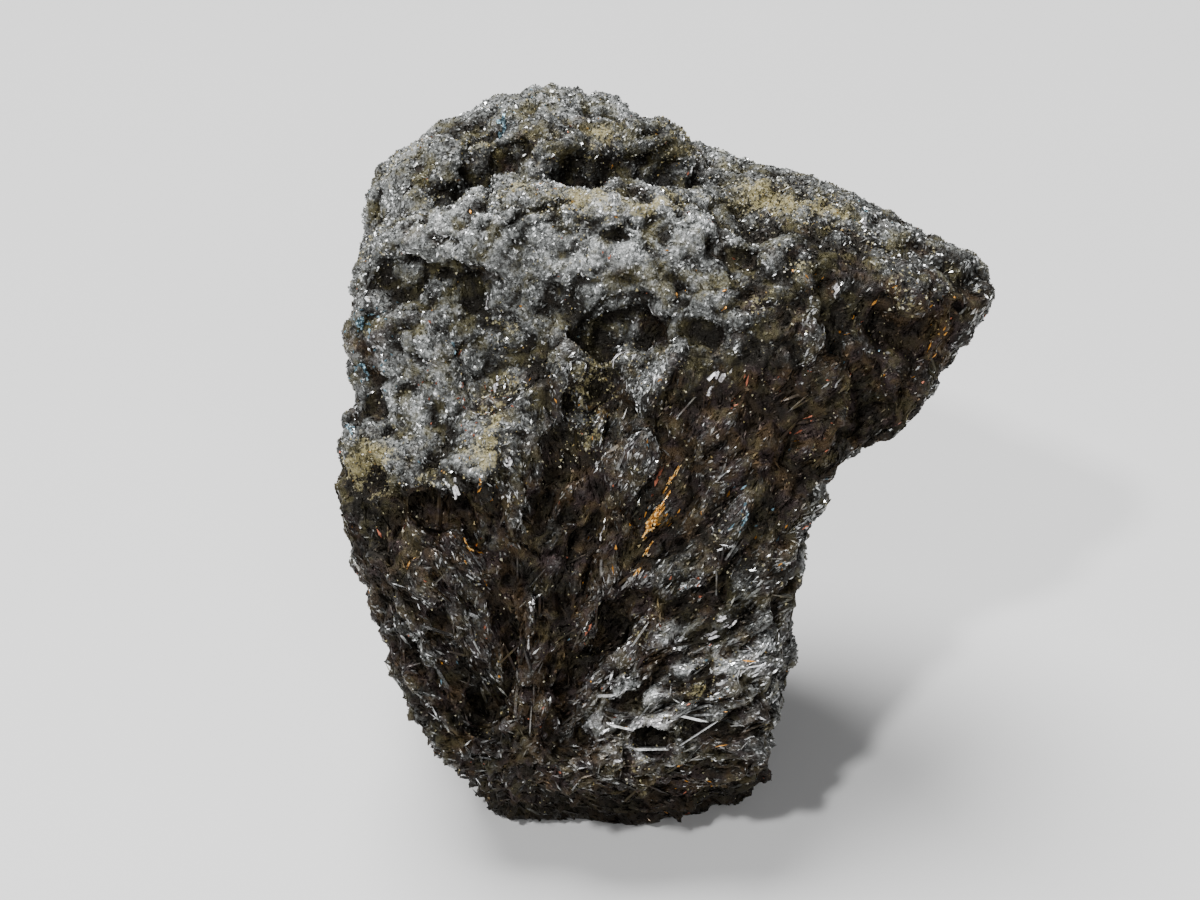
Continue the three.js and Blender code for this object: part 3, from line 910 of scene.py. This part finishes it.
class Wire:
    """The output of a shader node. Sums with it add their own nodes."""

    def __init__(self, shader, socket):
        self.shader = shader
        self.socket = socket

    def sum(self, operation, *others):
        wires = [w for w in (self, *others) if isinstance(w, Wire)]
        vector = any(w.socket.type in ("VECTOR", "RGBA") for w in wires)
        kind = "ShaderNodeVectorMath" if vector else "ShaderNodeMath"
        inputs = [(n, n, n) if vector and isinstance(n, (int, float)) else n for n in (self, *others)]
        return self.shader.add(kind, {"operation": operation}, dict(enumerate(inputs)))

    def __add__(self, other):
        return self.sum("ADD", other)

    def __sub__(self, other):
        return self.sum("SUBTRACT", other)

    def __mul__(self, other):
        return self.sum("MULTIPLY", other)

    def __rsub__(self, other):
        return self * -1 + other

    __radd__ = __add__
    __rmul__ = __mul__


class Shader:
    """A procedural material, built on the Principled BSDF."""

    def __init__(self, name):
        self.material = bpy.data.materials.new(name)
        self.material.use_nodes = True
        self.tree = self.material.node_tree
        self.surface = self.tree.nodes["Principled BSDF"]

    def add(self, kind, settings=None, inputs=None, output=0):
        """One node: its settings first, then the values or links of its sockets."""
        node = self.tree.nodes.new(kind)
        for name, value in (settings or {}).items():
            if name == "stops":
                self.set_stops(node.color_ramp, value)
            else:
                setattr(node, name, value)
        for name, value in (inputs or {}).items():
            self.feed(node.inputs[name], value)
        return Wire(self, node.outputs[output])

    def set_stops(self, ramp, stops):
        while len(ramp.elements) < len(stops):
            ramp.elements.new(0)
        for element, (place, color) in zip(ramp.elements, stops):
            element.position = place
            element.color = color

    def feed(self, socket, value):
        if isinstance(value, Wire):
            self.tree.links.new(value.socket, socket)
        else:
            socket.default_value = value

    def place(self):
        """The point in the object, in millimetres."""
        return self.add("ShaderNodeTexCoord", output="Object") * (1 / MM)

    def stored(self, name):
        return self.add("ShaderNodeAttribute", {"attribute_name": name}, output="Fac")

    def noise(self, vector, scale, detail=2.0, rough=0.55):
        inputs = {"Vector": vector, "Scale": scale, "Detail": detail, "Roughness": rough}
        return self.add("ShaderNodeTexNoise", None, inputs)

    def ramp(self, value, stops):
        return self.add("ShaderNodeValToRGB", {"stops": stops}, {"Fac": value})

    def step(self, value, low, high):
        """0 below low, 1 above high."""
        inputs = {"Value": value, "From Min": low, "From Max": high}
        return self.add("ShaderNodeMapRange", {"interpolation_type": "SMOOTHSTEP"}, inputs)

    def mix(self, share, one, other):
        inputs = {0: share, 6: one, 7: other}
        return self.add("ShaderNodeMix", {"data_type": "RGBA"}, inputs, 2)

    def finish(self, **sockets):
        """Feeds the surface's sockets, whose names are given with _ for a space."""
        for name, value in sockets.items():
            self.feed(self.surface.inputs[name.replace("_", " ")], value)
        return self.material


# Black is the metal's darkest tone, and also the colour that painted shade darkens it to.
BLACK_AND_SHADE = (0.014, 0.012, 0.009, 1)
DARK_STEEL = (0.05, 0.05, 0.047, 1)
STEEL = (0.165, 0.171, 0.166, 1)
GREY_STEEL = (0.37, 0.38, 0.375, 1)
BRIGHT_STEEL = (0.9, 0.91, 0.92, 1)
BRONZE = (0.093, 0.054, 0.022, 1)
PLUM = (0.06, 0.037, 0.038, 1)
OLIVE = (0.11, 0.096, 0.04, 1)
GOLD = (0.5, 0.22, 0.035, 1)
COPPER = (0.36, 0.12, 0.07, 1)
BLUE = (0.1, 0.17, 0.21, 1)
DULL_DUST = (0.14, 0.12, 0.055, 1)
YELLOW_DUST = (0.32, 0.275, 0.125, 1)
GREY_DUST = (0.4, 0.37, 0.26, 1)
WHITE_DUST = (0.62, 0.58, 0.5, 1)
OCHRE = (0.22, 0.12, 0.02, 1)


# How much each kind of place adds to the metal's tone, and noise to that.
# The foot, the cracks and hollows, and the dark places darken it as painted shade. The brown places darken
# The grainy parts, mostly high up, are lighter: partly their own grey, partly painted light from above.
# it as tarnish and partly as painted shade, and the silver places lighten it as painted highlight.
ZONE_TONES = {"grainy": 0.24, "silver": 0.3, "brown": -0.1, "deep": -0.5, "dark": -0.35}
FINE_TONE = 1.5
BROAD_TONE = 0.8
MIDDLE_TONE = 0.345


def metal(shader, tone):
    """The metal's colour for a tone from 0, black, to 1, bright."""
    stops = [(0.0, BLACK_AND_SHADE), (0.3, DARK_STEEL), (0.55, STEEL), (0.8, GREY_STEEL), (1.0, BRIGHT_STEEL)]
    return shader.ramp(tone, stops)


def zone_tone(shader, place):
    """How bright the metal is at a place, which the crust and the needles on it share."""
    fine = shader.noise(place, 3.2, 3.0, 0.7)
    broad = shader.noise(place, 0.5, 3.0)
    tone = (fine - 0.5) * FINE_TONE + (broad - 0.5) * BROAD_TONE + MIDDLE_TONE
    for zone, share in ZONE_TONES.items():
        tone = tone + shader.stored(zone) * share
    return tone


def tarnished(shader, place, color):
    """The metal's colour under bronze, plum and olive tarnish and painted shade, for crust and needles."""
    grainy, brown = shader.stored("grainy"), shader.stored("brown")
    warmth = shader.step(shader.noise(place, 0.4, 4.0, 0.7) + brown * 0.12 - grainy * 0.12, 0.42, 0.7)
    film = shader.mix(shader.step(shader.noise(place, 0.6, 2.0), 0.42, 0.6), BRONZE, PLUM)
    color = shader.mix(warmth * 0.45, color, film)
    patches = shader.step(shader.noise(place, 0.45, 4.0, 0.65), 0.48, 0.64)
    color = shader.mix(patches * (grainy * 0.3 + 0.28), color, OLIVE)
    # Painted shade: blackened at the foot and deep in the cracks and hollows.
    return shader.mix(shader.step(shader.stored("deep"), 0.9, 1.5) * 0.6, color, BLACK_AND_SHADE)


def dust_share(shader, place):
    """How dusty a place is, in patches with a sharp edge, which the crust and the needles on it share."""
    cloud = shader.step(shader.noise(place, 0.55, 4.0, 0.7), 0.5, 0.72)
    patch = (shader.noise(place, 1.6, 5.0, 0.8) - 0.5) * 2.4
    share = shader.stored("dust") * 0.7 + shader.stored("pale") * 1.2 + cloud * 0.35 + patch
    return shader.step(share, 0.38, 0.75)


def needle_material(name, brightness):
    """Thin metallic blades: mostly dark, some bright, with gold, copper and blue tarnish in places."""
    shader = Shader(name)
    lot = shader.stored("lot")
    place = shader.place()
    bright = shader.step(lot, 0.88, 1.0)
    own_tone = (lot - 0.5) * 0.6 + bright * 0.4 + shader.stored("streak") * 0.5
    tone = zone_tone(shader, place) + own_tone + brightness
    color = tarnished(shader, place, metal(shader, tone))
    other_lot = (lot * 37.0).sum("FRACT")
    for spot, tint, share, few in (
        ("gold", GOLD, 0.13, 0.002), ("copper", COPPER, 0.11, 0.0025), ("blue", BLUE, 0.22, 0.001)
    ):
        chance = shader.stored(spot) * share + few
        color = shader.mix(chance.sum("GREATER_THAN", other_lot), color, tint)
        other_lot = (other_lot * 13.0).sum("FRACT")
    dusty = (dust_share(shader, place) * 0.7).sum("GREATER_THAN", other_lot)
    other_lot = (other_lot * 13.0).sum("FRACT")
    dust = shader.ramp(other_lot, [(0.0, DULL_DUST), (0.5, YELLOW_DUST), (1.0, GREY_DUST)])
    color = shader.mix(dusty * 0.8, color, dust)
    rough = 0.42 - bright * 0.18 + dusty * 0.35
    metallic = 0.9 - shader.stored("grainy") * 0.25 - dusty * 0.5
    return shader.finish(Base_Color=color, Metallic=metallic, Roughness=rough)


def glint_material(name, dark, dull, clear):
    """Clean cleavage faces that shine, dark in small patches."""
    shader = Shader(name)
    grain = shader.noise(shader.place(), 4.0, 2.0)
    color = shader.ramp(grain, [(0.32, dark), (0.5, dull), (0.62, clear)])
    return shader.finish(Base_Color=color, Metallic=0.85, Roughness=0.3 + grain * 0.15)


def lump_material():
    """The fibre crust under the needles: painted shade in the hollows, bronze and olive, and pale matrix."""
    shader = Shader("felted_fibres")
    place = shader.place()
    fine = shader.noise(place, 2.4, 4.0, 0.7)
    # Painted shade: the crust is a little darker than the needles, so that it reads as shade between them.
    color = tarnished(shader, place, metal(shader, zone_tone(shader, place) - 0.14))
    dusty = dust_share(shader, place)
    dust = shader.ramp(fine, [(0.3, DULL_DUST), (0.5, YELLOW_DUST), (0.7, GREY_DUST)])
    color = shader.mix(dusty * 0.8, color, dust)
    color = shader.mix(shader.step(shader.stored("gold") * fine, 0.25, 0.7), color, OCHRE)
    bump = shader.add("ShaderNodeBump", None, {"Height": fine, "Distance": 0.3 * MM, "Strength": 1.0})
    shader.finish(Metallic=0.6 - dusty * 0.6, Roughness=0.5 + dusty * 0.3, Specular_IOR_Level=0.3)
    return shader.finish(Base_Color=color, Normal=bump)


def crumb_material():
    """Pale, yellow-grey, dull crumbs."""
    shader = Shader("pale_matrix")
    grain = shader.noise(shader.place(), 0.6, 3.0)
    stops = [(0.0, OCHRE), (0.25, YELLOW_DUST), (0.7, GREY_DUST), (1.0, WHITE_DUST)]
    color = shader.ramp(shader.stored("lot") * 0.75 + (grain - 0.5) + 0.1, stops)
    color = shader.mix(shader.step(shader.stored("pale"), 0.2, 0.8), color, WHITE_DUST)
    return shader.finish(Base_Color=color, Roughness=grain * 0.3 + 0.6)


def floor_material():
    shader = Shader("pale_floor")
    soft = shader.noise(shader.place(), 0.02, 2.0)
    color = shader.mix(soft, (0.62, 0.62, 0.62, 1), (0.66, 0.66, 0.655, 1))
    return shader.finish(Base_Color=color, Roughness=0.7)


# Half of how much of its share of the map a patch takes.
PATCH_HALF = 0.42


def lump_map(mesh):
    """A map for the bake: six patches, one for each side of a box about the lump."""
    points = points_of(mesh)
    middle = (points.min(axis=0) + points.max(axis=0)) / 2
    corners = np.empty(len(mesh.loops), dtype=int)
    mesh.loops.foreach_get("vertex_index", corners)
    totals = np.empty(len(mesh.polygons), dtype=int)
    mesh.polygons.foreach_get("loop_total", totals)
    centres = np.empty(len(mesh.polygons) * 3)
    mesh.polygons.foreach_get("center", centres)
    toward = centres.reshape(-1, 3) / MM - middle
    axis = np.argmax(np.abs(toward), axis=1)
    side = axis * 2 + (np.take_along_axis(toward, axis[:, None], 1)[:, 0] > 0)
    side = np.repeat(side, totals)
    rays = points[corners] - middle
    depth = np.abs(np.take_along_axis(rays, (side // 2)[:, None], 1)[:, 0])
    u = np.take_along_axis(rays, ((side // 2 + 1) % 3)[:, None], 1)[:, 0] / depth
    v = np.take_along_axis(rays, ((side // 2 + 2) % 3)[:, None], 1)[:, 0] / depth
    place = np.stack([(side % 3 + 0.5 + u * PATCH_HALF) / 3, (side // 3 + 0.5 + v * PATCH_HALF) / 2], axis=1)
    mesh.uv_layers.new(name="OFBake").uv.foreach_set("vector", place.ravel())


def dress(piece, material, *, smooth=False):
    """Gives a piece its material, and says what it belongs to."""
    piece.data.materials.clear()
    piece.data.materials.append(material)
    if smooth:
        piece.data.shade_smooth()
    else:
        piece.data.shade_flat()
    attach(piece, "root")


def make_cluster():
    lump = make_lump()
    lump_map(lump.data)
    dress(lump, lump_material(), smooth=True)
    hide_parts("stibnite_cluster")
    skin = BVHTree.FromPolygons([v.co for v in lump.data.vertices], [p.vertices for p in lump.data.polygons])
    splinter = form_arrays(splinter_form())
    needle = form_arrays(needle_form())
    felt = needle_material("felt_metal", 0.0)
    for i in range(FELT_PIECES):
        dress(make_needles(lump, skin, f"felt_{i + 1}", NEEDLES_IN_A_PIECE, splinter, FELT), felt)
    dress(make_needles(lump, skin, "blades", BLADES, needle, BLADE), needle_material("blade_metal", 0.04))
    silver = glint_material("clean_cleavage", (0.3, 0.28, 0.3, 1), (0.8, 0.78, 0.8, 1), (0.95, 0.93, 0.93, 1))
    dress(make_glints(skin, needle, "bright_blades", GLINTS), silver)
    gold = glint_material("gold_tarnish", (0.2, 0.07, 0.012, 1), (0.75, 0.36, 0.07, 1), (1, 0.78, 0.38, 1))
    dress(make_glints(skin, needle, "gold_blades", GOLD_GLINTS), gold)
    blue = glint_material("blue_tarnish", (0.03, 0.06, 0.08, 1), BLUE, (0.5, 0.7, 0.8, 1))
    dress(make_glints(skin, needle, "blue_blades", BLUE_GLINTS), blue)
    dress(make_crumbs(lump, splinter), crumb_material())


def make_stage():
    """A plain pale floor."""
    mesh = bpy.data.meshes.new("floor")
    shape = bmesh.new()
    bmesh.ops.create_grid(shape, x_segments=1, y_segments=1, size=3)
    shape.to_mesh(mesh)
    shape.free()
    floor = bpy.data.objects.new("floor", mesh)
    bpy.context.scene.collection.objects.link(floor)
    mesh.materials.append(floor_material())


def make_light(name, kind, place, power, **shape):
    """A light that shines from a place at the lump. The place, and a square lamp's size, are in metres."""
    light = bpy.data.lights.new(name, kind)
    light.energy = power
    for setting, value in shape.items():
        setattr(light, setting, value)
    lamp = bpy.data.objects.new(name, light)
    lamp.location = place
    lamp.rotation_euler = (VIEW_TARGET - Vector(place)).to_track_quat("-Z", "Y").to_euler()
    bpy.context.scene.collection.objects.link(lamp)


def make_lights():
    make_light("overhead", "SUN", (-0.12, 0.14, 0.44), 6.4, angle=math.radians(37))
    make_light("front_card", "AREA", (0.1, -0.42, 0.36), 0.8, size=0.2)
    make_light("small_glint", "AREA", (-0.2, -0.26, 0.46), 2.4, size=0.04)
    world = bpy.data.worlds.new("studio")
    world.use_nodes = True
    world.node_tree.nodes["Background"].inputs["Color"].default_value = (0.95, 0.96, 1, 1)
    world.node_tree.nodes["Background"].inputs["Strength"].default_value = 0.16
    bpy.context.scene.world = world


def make_camera():
    """The photograph's view: from the front, looking down."""
    camera = bpy.data.objects.new("camera", bpy.data.cameras.new("camera"))
    camera.data.lens = LENS
    camera.data.sensor_width = SENSOR
    camera.data.clip_start = 0.01
    toward = Vector((0, math.cos(VIEW_DOWN), -math.sin(VIEW_DOWN)))
    camera.location = VIEW_TARGET - toward * VIEW_DISTANCE
    camera.rotation_euler = toward.to_track_quat("-Z", "Y").to_euler()
    bpy.context.scene.collection.objects.link(camera)
    bpy.context.scene.camera = camera


make_camera()
make_lights()
make_stage()
make_cluster()
